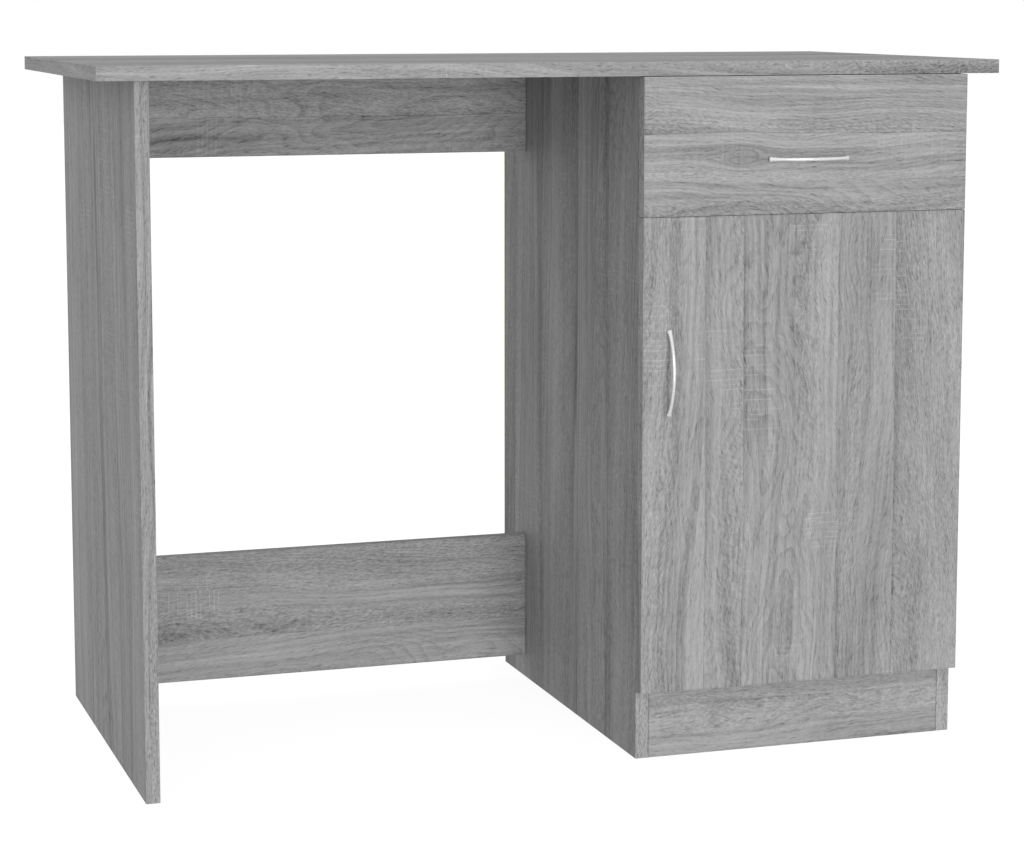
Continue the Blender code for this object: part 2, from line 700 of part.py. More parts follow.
def make_door(finishes):
    """Everything that moves with the door, and the links of its two hinges."""
    low = (PEDESTAL_LEFT, FACE_FRONT, PLINTH_HEIGHT + FRONT_SEAM / 2)
    door = board("door_panel", low, (OUTER_X, FACE_BACK, DRAWER_FRONT_LOW - FRONT_SEAM), finishes["oak"])
    handle_x = PEDESTAL_LEFT + DOOR_HANDLE_INSET
    middle = (handle_x, FACE_FRONT, DOOR_HANDLE_HEIGHT)
    moving = [door, make_handle("door_handle", middle, (0, 0, 1), finishes)]
    for level, way in (("lower", -1), ("upper", 1)):
        start = (handle_x, FACE_BACK, DOOR_HANDLE_HEIGHT + way * HANDLE_SPACING / 2)
        moving.append(make_handle_screw(f"door_handle_screw_{level}", door, start, finishes))
    links = []
    for level in HINGE_HEIGHTS:
        hinge = make_hinge(level, door, finishes)
        moving += hinge["door"]
        links.append(hinge["link"])
    return moving, links


def carry(child, parent):
    """Makes one pivot ride on another, where it stands."""
    child.parent = parent
    child.matrix_parent_inverse = parent.matrix_world.inverted()


def main():
    clear_scene()
    finishes = make_finishes()
    panels = make_panels(finishes)
    make_rail_fittings(panels, finishes)
    make_shelf_pins(panels, finishes)

    drawer_pieces, rollers = make_drawer(finishes)
    drawer_slide = pivot("drawer_slide", (PEDESTAL_MIDDLE, FACE_BACK, DRAWER_LOW), drawer_pieces)
    for name, roller in rollers.items():
        axle = pivot(f"{name}_axle", roller.location, [roller])
        if name.startswith("drawer"):
            carry(axle, drawer_slide)

    door_pieces, links = make_door(finishes)
    link_swing = pivot("hinge_link_swing", LINK_PIVOT, links)
    carry(pivot("door_swing", CUP_PIVOT, door_pieces), link_swing)


main()
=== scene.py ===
import json
import math
from itertools import cycle

import bpy
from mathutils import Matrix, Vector


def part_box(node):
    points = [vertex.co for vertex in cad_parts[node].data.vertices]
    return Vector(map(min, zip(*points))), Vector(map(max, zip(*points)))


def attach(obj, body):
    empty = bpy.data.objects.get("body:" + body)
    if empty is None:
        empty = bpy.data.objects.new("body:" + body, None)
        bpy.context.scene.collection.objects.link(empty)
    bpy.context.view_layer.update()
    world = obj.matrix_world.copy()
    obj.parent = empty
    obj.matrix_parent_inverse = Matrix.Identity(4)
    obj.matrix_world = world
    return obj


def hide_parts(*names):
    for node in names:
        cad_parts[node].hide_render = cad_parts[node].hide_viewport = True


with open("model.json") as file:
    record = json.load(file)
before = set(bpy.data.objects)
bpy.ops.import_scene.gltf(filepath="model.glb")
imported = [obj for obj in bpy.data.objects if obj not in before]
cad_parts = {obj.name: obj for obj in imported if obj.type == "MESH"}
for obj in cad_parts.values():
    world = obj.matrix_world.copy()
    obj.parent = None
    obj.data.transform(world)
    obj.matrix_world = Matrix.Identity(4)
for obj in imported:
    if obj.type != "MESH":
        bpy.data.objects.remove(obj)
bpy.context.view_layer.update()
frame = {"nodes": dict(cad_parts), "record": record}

cadNodes = frame["nodes"]
axisOf = {"x": Vector((1, 0, 0)), "y": Vector((0, 1, 0)), "z": Vector((0, 0, 1))}


# Camera, floor and lights

camera = {
    "place": (-0.9398, -2.9011, 0.8248),
    "turnRight": 18.165,
    "tiltDown": 7.173,
    "lens": 94.33,
    "lift": -0.09,
}
studio = {
    "floorSize": 30.0,
    "floorTone": 0.22,
    "floorDrift": 0.01,
    "floorGlow": 0.90,
    "floorBounce": 0.44,
    "sky": 1.0,
    "skyShade": 0.76,
    "keyPlace": (0.2, -4.4, 0.65),
    "keyAim": (0, 0, 0.4),
    "keySize": 1.2,
    "keyPower": 70,
}


def setCamera():
    data = bpy.data.cameras.new("mainCamera")
    data.lens = camera["lens"]
    data.shift_y = camera["lift"]
    data.clip_end = 60
    eye = bpy.data.objects.new("mainCamera", data)
    eye.location = camera["place"]
    eye.rotation_euler = (math.radians(90 - camera["tiltDown"]), 0, math.radians(-camera["turnRight"]))
    bpy.context.scene.collection.objects.link(eye)
    bpy.context.scene.camera = eye
    bpy.context.scene.view_settings.view_transform = "Standard"


def selectNone():
    for thing in bpy.context.selected_objects:
        thing.select_set(False)


def setFloor():
    selectNone()
    bpy.ops.mesh.primitive_plane_add(size=studio["floorSize"], location=(0, 0, 0))
    floor = bpy.context.object
    floor.name = "studioFloor"
    material = bpy.data.materials.new("studioFloor")
    material.use_nodes = True
    tree = material.node_tree
    shader = tree.nodes["Principled BSDF"]
    place = tree.nodes.new("ShaderNodeTexCoord")
    noise = tree.nodes.new("ShaderNodeTexNoise")
    noise.inputs["Scale"].default_value = 3.0
    tone = tree.nodes.new("ShaderNodeMapRange")
    tone.inputs["To Min"].default_value = studio["floorTone"] - studio["floorDrift"]
    tone.inputs["To Max"].default_value = studio["floorTone"] + studio["floorDrift"]
    tree.links.new(place.outputs["Object"], noise.inputs["Vector"])
    tree.links.new(noise.outputs["Fac"], tone.inputs["Value"])
    tree.links.new(tone.outputs["Result"], shader.inputs["Base Color"])
    shader.inputs["Roughness"].default_value = 0.9
    shader.inputs["Specular IOR Level"].default_value = 0.0
    glow = tree.nodes.new("ShaderNodeEmission")
    rays = tree.nodes.new("ShaderNodeLightPath")
    strength = tree.nodes.new("ShaderNodeMapRange")
    strength.inputs["To Min"].default_value = studio["floorBounce"]
    strength.inputs["To Max"].default_value = studio["floorGlow"]
    both = tree.nodes.new("ShaderNodeAddShader")
    tree.links.new(rays.outputs["Is Camera Ray"], strength.inputs["Value"])
    tree.links.new(strength.outputs["Result"], glow.inputs["Strength"])
    tree.links.new(shader.outputs[0], both.inputs[0])
    tree.links.new(glow.outputs[0], both.inputs[1])
    tree.links.new(both.outputs[0], tree.nodes["Material Output"].inputs["Surface"])
    floor.data.materials.append(material)


def setLights():
    world = bpy.data.worlds.new("studio")
    bpy.context.scene.world = world
    world.use_nodes = True
    tree = world.node_tree
    sky = tree.nodes["Background"]
    sky.inputs["Color"].default_value = (1, 1, 1, 1)
    rays = tree.nodes.new("ShaderNodeLightPath")
    strength = tree.nodes.new("ShaderNodeMapRange")
    strength.inputs["To Min"].default_value = studio["skyShade"]
    strength.inputs["To Max"].default_value = studio["sky"]
    tree.links.new(rays.outputs["Is Camera Ray"], strength.inputs["Value"])
    tree.links.new(strength.outputs["Result"], sky.inputs["Strength"])

    data = bpy.data.lights.new("softKey", "AREA")
    data.shape = "SQUARE"
    data.size = studio["keySize"]
    data.energy = studio["keyPower"]
    key = bpy.data.objects.new("softKey", data)
    key.location = studio["keyPlace"]
    aim = Vector(studio["keyAim"]) - key.location
    key.rotation_euler = aim.to_track_quat("-Z", "Y").to_euler()
    bpy.context.scene.collection.objects.link(key)


setCamera()
setFloor()
setLights()
print("stage set")


# Helpers for materials: a value can be a number or another node's output

def plug(tree, value, socket):
    if isinstance(value, bpy.types.NodeSocket):
        tree.links.new(value, socket)
    else:
        socket.default_value = value


def calc(tree, operation, *values, clamp=False):
    node = tree.nodes.new("ShaderNodeMath")
    node.operation = operation
    node.use_clamp = clamp
    for value, socket in zip(values, node.inputs):
        plug(tree, value, socket)
    return node.outputs[0]


def vectorCalc(tree, operation, *values):
    node = tree.nodes.new("ShaderNodeVectorMath")
    node.operation = operation
    for value, socket in zip(values, node.inputs):
        plug(tree, value, socket)
    return node.outputs["Value" if operation in ("DOT_PRODUCT", "LENGTH") else "Vector"]


def ramp(tree, value, low, high, fromLow=0.0, fromHigh=1.0):
    # smooth step of value between low and high
    node = tree.nodes.new("ShaderNodeMapRange")
    node.interpolation_type = "SMOOTHSTEP"
    node.inputs["From Min"].default_value = low
    node.inputs["From Max"].default_value = high
    node.inputs["To Min"].default_value = fromLow
    node.inputs["To Max"].default_value = fromHigh
    plug(tree, value, node.inputs["Value"])
    return node.outputs["Result"]


def noiseOf(tree, point, stretch, detail=2.0, shift=(0, 0, 0), roughness=0.5):
    mapping = tree.nodes.new("ShaderNodeMapping")
    mapping.inputs["Scale"].default_value = stretch
    mapping.inputs["Location"].default_value = shift
    noise = tree.nodes.new("ShaderNodeTexNoise")
    noise.inputs["Scale"].default_value = 1.0
    noise.inputs["Detail"].default_value = detail
    noise.inputs["Roughness"].default_value = roughness
    plug(tree, point, mapping.inputs["Vector"])
    tree.links.new(mapping.outputs["Vector"], noise.inputs["Vector"])
    return noise.outputs["Fac"]


def swing(tree, value, amount):
    # value around a half becomes a push around nought
    return calc(tree, "MULTIPLY", calc(tree, "SUBTRACT", value, 0.5), amount)


def total(tree, *values):
    result = values[0]
    for value in values[1:]:
        result = calc(tree, "ADD", result, value)
    return result


def newGroup(name, inputs, outputs):
    group = bpy.data.node_groups.new(name, "ShaderNodeTree")
    for label, kind, value in inputs:
        socket = group.interface.new_socket(label, in_out="INPUT", socket_type="NodeSocket" + kind)
        socket.default_value = value
    for label, kind in outputs:
        group.interface.new_socket(label, in_out="OUTPUT", socket_type="NodeSocket" + kind)
    return group, group.nodes.new("NodeGroupInput").outputs, group.nodes.new("NodeGroupOutput").inputs


# Where a point of a board lies in its printed grain: every face, edge band and end gets its own sheet

faceTurn = 0.72  # how squarely a face must look one way to count as an edge band or an end


def makeBoardFaces():
    group, given, made = newGroup(
        "boardFaces",
        [("Point", "Vector", (0, 0, 0)), ("Facing", "Vector", (0, 0, 1)), ("Grain", "Vector", (1, 0, 0)),
         ("Across", "Vector", (0, 1, 0)), ("Half Size", "Vector", (1, 1, 1))],
        [("Pattern", "Vector"), ("Edge", "Float"), ("Band", "Float")],
    )
    thick = vectorCalc(group, "CROSS_PRODUCT", given["Grain"], given["Across"])
    along = vectorCalc(group, "DOT_PRODUCT", given["Point"], given["Grain"])
    across = vectorCalc(group, "DOT_PRODUCT", given["Point"], given["Across"])
    deep = vectorCalc(group, "DOT_PRODUCT", given["Point"], thick)
    onEnd = calc(group, "ABSOLUTE", vectorCalc(group, "DOT_PRODUCT", given["Facing"], given["Grain"]))
    onEnd = calc(group, "GREATER_THAN", onEnd, faceTurn)
    onSide = calc(group, "ABSOLUTE", vectorCalc(group, "DOT_PRODUCT", given["Facing"], given["Across"]))
    onSide = calc(group, "GREATER_THAN", onSide, faceTurn)
    band = calc(group, "MAXIMUM", onEnd, onSide)
    first = calc(group, "MULTIPLY_ADD", calc(group, "SUBTRACT", across, along), onEnd, along)
    strip = total(group, deep, 0.31, calc(group, "MULTIPLY", onEnd, 0.26))
    second = calc(group, "MULTIPLY_ADD", calc(group, "SUBTRACT", strip, across), band, across)
    upper = calc(group, "GREATER_THAN", deep, 0.0)
    sheet = calc(group, "MULTIPLY", upper, calc(group, "SUBTRACT", 1.0, band))
    pattern = group.nodes.new("ShaderNodeCombineXYZ")
    plug(group, first, pattern.inputs[0])
    plug(group, second, pattern.inputs[1])
    plug(group, calc(group, "MULTIPLY", sheet, 3.7), pattern.inputs[2])
    # the second smallest distance to the board's six faces is the distance to its nearest edge
    split = group.nodes.new("ShaderNodeSeparateXYZ")
    inside = vectorCalc(group, "SUBTRACT", given["Half Size"], vectorCalc(group, "ABSOLUTE", given["Point"]))
    plug(group, inside, split.inputs[0])
    a, b, c = split.outputs
    edge = calc(group, "MAXIMUM", calc(group, "MINIMUM", a, b),
                calc(group, "MINIMUM", calc(group, "MAXIMUM", a, b), c))
    plug(group, pattern.outputs[0], made["Pattern"])
    plug(group, edge, made["Edge"])
    plug(group, band, made["Band"])
    return group


# Printed sawn oak: staves, wandering grain, growth rings, a knot, fibres, pores, cross-grain saw marks and
# painted glints

def makeSawnOak():
    group, given, made = newGroup(
        "sawnOak",
        [("Pattern", "Vector", (0, 0, 0)), ("Offset", "Vector", (0, 0, 0)), ("Arch", "Float", 0.0),
         ("Knot", "Vector", (9, 9, 0.01)), ("Saw Marks", "Float", 1.0), ("Tone", "Float", 1.0),
         ("Contrast", "Float", 1.0), ("Base", "Color", (0.4, 0.4, 0.4, 1))],
        [("Color", "Color"), ("Roughness", "Float"), ("Height", "Float")],
    )
    split = group.nodes.new("ShaderNodeSeparateXYZ")
    plug(group, given["Pattern"], split.inputs[0])
    along, across, sheet = split.outputs
    # the grain parts round a knot as water round a pile
    knot = group.nodes.new("ShaderNodeSeparateXYZ")
    plug(group, given["Knot"], knot.inputs[0])
    toKnotAlong = calc(group, "MULTIPLY", calc(group, "SUBTRACT", along, knot.outputs[0]), 0.38)
    toKnotAcross = calc(group, "SUBTRACT", across, knot.outputs[1])
    distance = calc(group, "ADD", calc(group, "MULTIPLY", toKnotAlong, toKnotAlong),
                    calc(group, "MULTIPLY", toKnotAcross, toKnotAcross))
    reach = calc(group, "MULTIPLY", knot.outputs[2], knot.outputs[2])
    parting = calc(group, "DIVIDE", reach, calc(group, "ADD", distance, calc(group, "MULTIPLY", reach, 0.35)))
    across = calc(group, "SUBTRACT", across, calc(group, "MULTIPLY", toKnotAcross, parting))

    def pointAt(v):
        join = group.nodes.new("ShaderNodeCombineXYZ")
        plug(group, along, join.inputs[0])
        plug(group, v, join.inputs[1])
        plug(group, sheet, join.inputs[2])
        return vectorCalc(group, "ADD", join.outputs[0], given["Offset"])

    # the print is laid up from upright staves, each with its own tone and lean of grain
    flat = pointAt(across)
    sway = noiseOf(group, flat, (1.1, 5.0, 1.0), 1.0, (8, 3, 0))
    stave = calc(group, "ADD", across, swing(group, sway, 0.022))
    stave = calc(group, "MULTIPLY", stave, 13.0)
    seed = group.nodes.new("ShaderNodeSeparateXYZ")
    plug(group, given["Offset"], seed.inputs[0])
    stave = total(group, stave, seed.outputs[1], calc(group, "MULTIPLY", sheet, 5.3))
    spread = noiseOf(group, given["Offset"], (1, 1, 1), 0.0)
    uneven = calc(group, "SINE", calc(group, "MULTIPLY", stave, 2.3))
    stave = total(group, stave, spread, calc(group, "MULTIPLY", uneven, 0.38))
    number = calc(group, "FLOOR", stave)
    inStave = calc(group, "FRACT", stave)
    chance = group.nodes.new("ShaderNodeTexWhiteNoise")
    chance.noise_dimensions = "1D"
    plug(group, calc(group, "ADD", number, seed.outputs[0]), chance.inputs["W"])
    luck = group.nodes.new("ShaderNodeSeparateColor")
    plug(group, chance.outputs["Color"], luck.inputs[0])
    staveTone, staveLean, staveJoint = luck.outputs

    wander = noiseOf(group, flat, (2.2, 7.0, 1.0), 2.0)
    ripple = noiseOf(group, flat, (9.0, 30.0, 1.0), 2.0, (5, 2, 0))
    lean = calc(group, "MULTIPLY", along, swing(group, staveLean, 0.11))
    bent = total(group, across, swing(group, wander, 0.060), swing(group, ripple, 0.007), lean,
                 calc(group, "MULTIPLY", number, 0.37))
    point = pointAt(bent)
    flame = noiseOf(group, point, (24.0, 40.0, 1.0), 2.0, (2, 9, 1))
    flamePlace = ramp(group, noiseOf(group, point, (2.4, 16.0, 1.0), 1.0, (6, 1, 2)), 0.40, 0.60)
    flamed = calc(group, "ADD", bent, calc(group, "MULTIPLY", swing(group, flame, 0.018), flamePlace))
    finePoint = pointAt(flamed)
    # some of the width runs in long straight streaks, the rest in short leaning ticks
    straight = ramp(group, noiseOf(group, point, (0.7, 17.0, 1.0), 1.0, (4, 6, 8)), 0.44, 0.56)
    tickLean = calc(group, "MULTIPLY", along, swing(group, staveTone, 0.42))
    tickPoint = pointAt(calc(group, "ADD", flamed, tickLean))

    # growth rings cut nearly flat: thin dark lines that wander like contours and close into arches
    off = calc(group, "SUBTRACT", across, given["Arch"])
    arches = calc(group, "MULTIPLY", calc(group, "MULTIPLY", off, off), 900.0)
    arches = total(group, arches, calc(group, "MULTIPLY", along, 12.0))
    rings = total(group, calc(group, "MULTIPLY", bent, 120.0), arches,
                  swing(group, noiseOf(group, point, (4.0, 13.0, 1.0), 2.0, (1, 8, 0)), 16.0))
    ring = calc(group, "FRACT", rings)
    ringEnd = ramp(group, ring, 0.90, 1.0, 1.0, 0.0)
    latewood = calc(group, "MULTIPLY", calc(group, "POWER", ring, 2.4), ringEnd)
    ringPlace = ramp(group, noiseOf(group, point, (2.0, 12.0, 1.0), 1.0, (3, 3, 4)), 0.38, 0.58)

    broad = noiseOf(group, point, (0.8, 15.0, 1.0), 2.0, (0, 4, 0))
    blotch = noiseOf(group, point, (8.0, 26.0, 1.0), 2.0, (9, 4, 3))
    bands = noiseOf(group, point, (1.6, 75.0, 1.0), 3.0, (2, 0, 0), 0.6)
    streaks = noiseOf(group, point, (2.2, 210.0, 1.0), 2.0, (3, 0, 2), 0.6)
    darkBands = ramp(group, noiseOf(group, point, (1.3, 30.0, 1.0), 2.0, (7, 0, 1)), 0.55, 0.70)
    fibres = noiseOf(group, finePoint, (30.0, 460.0, 1.0), 3.0, (0, 0, 2), 0.65)
    dashes = noiseOf(group, tickPoint, (210.0, 700.0, 1.0), 2.0, (0, 0, 5), 0.6)
    pores = ramp(group, noiseOf(group, tickPoint, (80.0, 760.0, 1.0), 1.0, (0, 0, 9)), 0.58, 0.74)
    # painted glints: small lighter flecks in the colour that stand in for light caught by the fibres
    paintedGlints = ramp(group, noiseOf(group, finePoint, (50.0, 700.0, 1.0), 1.0, (0, 0, 15)), 0.60, 0.78)

    # beside some joints between staves the wood runs dark in a long wedge
    length = noiseOf(group, flat, (2.6, 2.0, 1.0), 1.0, (3, 7, 2))
    wedge = calc(group, "DIVIDE", inStave, ramp(group, length, 0.42, 0.72, 0.03, 0.55))
    wedge = ramp(group, wedge, 0.0, 1.0, 1.0, 0.0)
    wedge = calc(group, "MULTIPLY", wedge, ramp(group, staveJoint, 0.45, 0.55))
    toJoint = calc(group, "MINIMUM", inStave, calc(group, "SUBTRACT", 1.0, inStave))
    seam = ramp(group, toJoint, 0.008, 0.022, 1.0, 0.0)
    seamPlace = ramp(group, noiseOf(group, flat, (5.0, 9.0, 1.0), 2.0, (1, 5, 6)), 0.46, 0.66)
    seam = calc(group, "MULTIPLY", seam, seamPlace)

    # saw marks: thin light lines across the grain at an even pitch, some missing, in short patches
    pitch = calc(group, "MULTIPLY", calc(group, "ADD", along, swing(group, ripple, 0.004)), 185.0)
    pitch = calc(group, "ADD", pitch, calc(group, "MULTIPLY", number, 0.43))
    tooth = calc(group, "FRACT", pitch)
    cuts = calc(group, "MULTIPLY", ramp(group, tooth, 0.0, 0.12), ramp(group, tooth, 0.16, 0.34, 1.0, 0.0))
    skip = group.nodes.new("ShaderNodeTexWhiteNoise")
    skip.noise_dimensions = "1D"
    mark = total(group, calc(group, "FLOOR", pitch), calc(group, "MULTIPLY", number, 7.3))
    plug(group, mark, skip.inputs["W"])
    cuts = calc(group, "MULTIPLY", cuts, ramp(group, skip.outputs["Value"], 0.15, 0.75))
    patches = ramp(group, noiseOf(group, flat, (9.0, 15.0, 1.0), 0.0, (4, 4, 3)), 0.60, 0.68)
    breaks = ramp(group, noiseOf(group, flat, (120.0, 30.0, 1.0), 1.0, (0, 6, 1)), 0.34, 0.52)
    marks = calc(group, "MULTIPLY", calc(group, "MULTIPLY", cuts, patches), breaks)
    marks = calc(group, "MULTIPLY", marks, given["Saw Marks"])

    level = total(
        group, 1.0,
        swing(group, staveTone, 0.10),
        swing(group, broad, 0.50),
        swing(group, blotch, 0.36),
        swing(group, bands, 0.50),
        calc(group, "MULTIPLY", swing(group, streaks, 0.85), ramp(group, straight, 0.0, 1.0, 0.25, 1.0)),
        calc(group, "MULTIPLY", swing(group, fibres, 0.54), ramp(group, straight, 0.0, 1.0, 1.0, 0.7)),
        calc(group, "MULTIPLY", swing(group, dashes, 1.10), ramp(group, straight, 0.0, 1.0, 1.0, 0.5)),
        calc(group, "MULTIPLY", darkBands, -0.16),
        calc(group, "MULTIPLY", calc(group, "MULTIPLY", latewood, ringPlace), -0.24),
        calc(group, "MULTIPLY", pores, -0.26),
        calc(group, "MULTIPLY", paintedGlints, 0.13),
        calc(group, "MULTIPLY", marks, 0.24),
        calc(group, "MULTIPLY", wedge, -0.24),
        calc(group, "MULTIPLY", seam, -0.14),
        calc(group, "MULTIPLY", ramp(group, parting, 0.9, 2.4), -0.05),
    )
    level = calc(group, "MULTIPLY_ADD", calc(group, "SUBTRACT", level, 1.0), given["Contrast"], 1.0)
    level = calc(group, "MULTIPLY", level, given["Tone"])
    colour = vectorCalc(group, "SCALE", given["Base"])
    plug(group, level, colour.node.inputs["Scale"])
    plug(group, colour, made["Color"])
    roughness = total(group, 0.52, swing(group, fibres, 0.18), calc(group, "MULTIPLY", pores, 0.10))
    plug(group, roughness, made["Roughness"])
    height = total(
        group,
        swing(group, fibres, 0.9),
        swing(group, dashes, 0.7),
        calc(group, "MULTIPLY", pores, -0.8),
        calc(group, "MULTIPLY", marks, -0.6),
        0.5,
    )
    plug(group, height, made["Height"])
    return group


# A glued edge band: a hairline joint just inside the edge, and the edges lighter, partly rubbed by wear and
# partly a painted highlight where a rounded edge would catch the light

def makeBandedEdge():
    group, given, made = newGroup(
        "bandedEdge",
        [("Color", "Color", (0.5, 0.5, 0.5, 1)), ("Edge", "Float", 1.0), ("Point", "Vector", (0, 0, 0)),
         ("Band", "Float", 0.0), ("Rub", "Float", 0.3)],
        [("Color", "Color"), ("Joint", "Float")],
    )
    toJoint = calc(group, "ABSOLUTE", calc(group, "SUBTRACT", given["Edge"], 0.0011))
    joint = ramp(group, toJoint, 0.0, 0.00030, 1.0, 0.0)
    joint = calc(group, "MULTIPLY", joint, calc(group, "SUBTRACT", 1.0, given["Band"]))
    grit = ramp(group, noiseOf(group, given["Point"], (90.0, 90.0, 90.0), 3.0), 0.35, 0.70)
    # lighter within a millimetre of each edge, patchy with grit: part wear, part painted highlight
    rubAndHighlight = calc(group, "MULTIPLY", ramp(group, given["Edge"], 0.0002, 0.0010, 1.0, 0.0), grit)
    rubAndHighlight = calc(group, "MULTIPLY", rubAndHighlight, given["Rub"])
    lighter = calc(group, "MULTIPLY", given["Band"], 0.06)
    level = total(group, 1.0, rubAndHighlight, calc(group, "MULTIPLY", joint, -0.22), lighter)
    colour = vectorCalc(group, "SCALE", given["Color"])
    plug(group, level, colour.node.inputs["Scale"])
    plug(group, colour, made["Color"])
    plug(group, joint, made["Joint"])
    return group


# Handling and making marks on plain finishes: soft tone drift, and fine grain along one way

def makeFineMarks():
    group, given, made = newGroup(
        "fineMarks",
        [("Point", "Vector", (0, 0, 0)), ("Stretch", "Vector", (200, 200, 200)),
         ("Color", "Color", (0.5, 0.5, 0.5, 1)), ("Drift", "Float", 0.1), ("Grain", "Float", 0.1),
         ("Roughness", "Float", 0.4)],
        [("Color", "Color"), ("Roughness", "Float"), ("Height", "Float")],
    )
    drift = noiseOf(group, given["Point"], (14.0, 14.0, 14.0), 3.0)
    stretched = vectorCalc(group, "MULTIPLY", given["Point"], given["Stretch"])
    grain = noiseOf(group, stretched, (1.0, 1.0, 1.0), 3.0, (3, 1, 2), 0.6)
    level = total(group, 1.0, calc(group, "MULTIPLY", swing(group, drift, 2.0), given["Drift"]),
                  calc(group, "MULTIPLY", swing(group, grain, 2.0), given["Grain"]))
    colour = vectorCalc(group, "SCALE", given["Color"])
    plug(group, level, colour.node.inputs["Scale"])
    plug(group, colour, made["Color"])
    roughness = total(group, given["Roughness"], swing(group, grain, 0.22), swing(group, drift, 0.14))
    plug(group, roughness, made["Roughness"])
    plug(group, grain, made["Height"])
    return group


groups = {
    "faces": makeBoardFaces(),
    "oak": makeSawnOak(),
    "band": makeBandedEdge(),
    "marks": makeFineMarks(),
}
print("surface groups made")


def newMaterial(name):
    material = bpy.data.materials.new(name)
    material.use_nodes = True
    return material, material.node_tree, material.node_tree.nodes["Principled BSDF"]


def useGroup(tree, key, **values):
    node = tree.nodes.new("ShaderNodeGroup")
    node.node_tree = groups[key]
    for label, value in values.items():
        plug(tree, value, node.inputs[label.replace("_", " ")])
    return node.outputs


def addBump(tree, shader, height, distance, strength=1.0):
    bump = tree.nodes.new("ShaderNodeBump")
    bump.inputs["Distance"].default_value = distance
    bump.inputs["Strength"].default_value = strength
    plug(tree, height, bump.inputs["Height"])
    tree.links.new(bump.outputs["Normal"], shader.inputs["Normal"])


# Oak-faced boards. offset picks the place in the print, arch is the middle line of its arches. The tone of
# the leg and of the two modesty rails is painted shade and painted light: the leg's outer face darker, the
# rails lighter against the shade under the top

oak = {
    "colour": (0.335, 0.335, 0.335, 1),
    "bump": 0.00012,
    "edgeContrast": 0.32,
    # how much lighter the edges are painted, wear and painted highlight together
    "edgeRub": 0.16,
    "noKnot": (9, 9, 0.001),   # far off the board
    "specular": 0.15,
}
boards = {
    "top_panel": {"grain": "x", "across": "y", "offset": (1.3, 0.2, 0.0), "arch": -0.09, "saw": 0.6},
    # the leg's tone 0.94 is painted shade on its outer face
    "leg_panel_left": {"grain": "z", "across": "y", "offset": (4.1, 3.7, 2.0), "arch": 0.06, "saw": 0.9,
                       "tone": 0.94},
    "pedestal_side_left": {"grain": "z", "across": "y", "offset": (2.2, 6.1, 5.0), "arch": -0.05, "saw": 0.8},
    "pedestal_side_right": {"grain": "z", "across": "y", "offset": (7.7, 1.9, 6.0), "arch": 0.04, "saw": 0.8},
    # the rails' tones 1.12 and 1.10 are painted light on boards that sit in the shade under the top
    "modesty_rail_upper": {"grain": "x", "across": "z", "offset": (3.4, 2.6, 1.0), "arch": 0.07, "saw": 0.7,
                           "tone": 1.12},
    "modesty_rail_lower": {"grain": "x", "across": "z", "offset": (6.2, 4.4, 3.0), "arch": -0.05, "saw": 1.2,
                           "tone": 1.10},
    "pedestal_base": {"grain": "x", "across": "y", "offset": (5.1, 8.2, 4.0), "arch": 0.0, "saw": 0.5},
    "plinth": {"grain": "x", "across": "z", "offset": (8.3, 5.5, 7.0), "arch": 0.05, "saw": 0.4},
    "divider_panel": {"grain": "x", "across": "y", "offset": (9.4, 2.3, 8.0), "arch": 0.05, "saw": 0.5},
    "inner_shelf": {"grain": "x", "across": "y", "offset": (2.9, 9.1, 9.0), "arch": -0.08, "saw": 0.5},
    "drawer_front": {"grain": "x", "across": "z", "offset": (1.7, 7.6, 2.5), "arch": -0.05, "saw": 0.5,
                     "tone": 1.02, "knot": (-0.078, -0.012, 0.0095)},
    "door_panel": {"grain": "z", "across": "x", "offset": (3.9, 1.2, 3.5), "arch": 0.02, "saw": 1.1},
}


def oakMaterial(name, look):
    low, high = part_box(name)
    material, tree, shader = newMaterial("oak_" + name)
    place = tree.nodes.new("ShaderNodeTexCoord")
    centred = tree.nodes.new("ShaderNodeMapping")
    centred.inputs["Location"].default_value = -(low + high) / 2
    tree.links.new(place.outputs["Object"], centred.inputs["Vector"])
    point = centred.outputs["Vector"]
    faces = useGroup(tree, "faces", Point=point, Facing=place.outputs["Normal"], Grain=axisOf[look["grain"]],
                     Across=axisOf[look["across"]], Half_Size=(high - low) / 2)
    grain = useGroup(tree, "oak", Pattern=faces["Pattern"], Offset=look["offset"], Arch=look["arch"],
                     Knot=look.get("knot", oak["noKnot"]),
                     Saw_Marks=look["saw"], Tone=look.get("tone", 1.0), Base=oak["colour"],
                     Contrast=calc(tree, "MULTIPLY_ADD", faces["Band"], oak["edgeContrast"], 1.0))
    edged = useGroup(tree, "band", Color=grain["Color"], Edge=faces["Edge"], Point=point, Band=faces["Band"],
                     Rub=oak["edgeRub"])
    plug(tree, edged["Color"], shader.inputs["Base Color"])
    plug(tree, grain["Roughness"], shader.inputs["Roughness"])
    shader.inputs["Specular IOR Level"].default_value = oak["specular"]
    addBump(tree, shader, calc(tree, "SUBTRACT", grain["Height"], edged["Joint"]), oak["bump"])
    return material


def plainMaterial(name, look):
    material, tree, shader = newMaterial(name)
    place = tree.nodes.new("ShaderNodeTexCoord")
    marks = useGroup(tree, "marks", Point=place.outputs["Object"], Stretch=look["stretch"],
                     Color=(*look["colour"], 1), Drift=look["drift"], Grain=look["grain"],
                     Roughness=look["roughness"])
    plug(tree, marks["Color"], shader.inputs["Base Color"])
    plug(tree, marks["Roughness"], shader.inputs["Roughness"])
    shader.inputs["Metallic"].default_value = look.get("metallic", 0.0)
    addBump(tree, shader, marks["Height"], look["bump"])
    return material


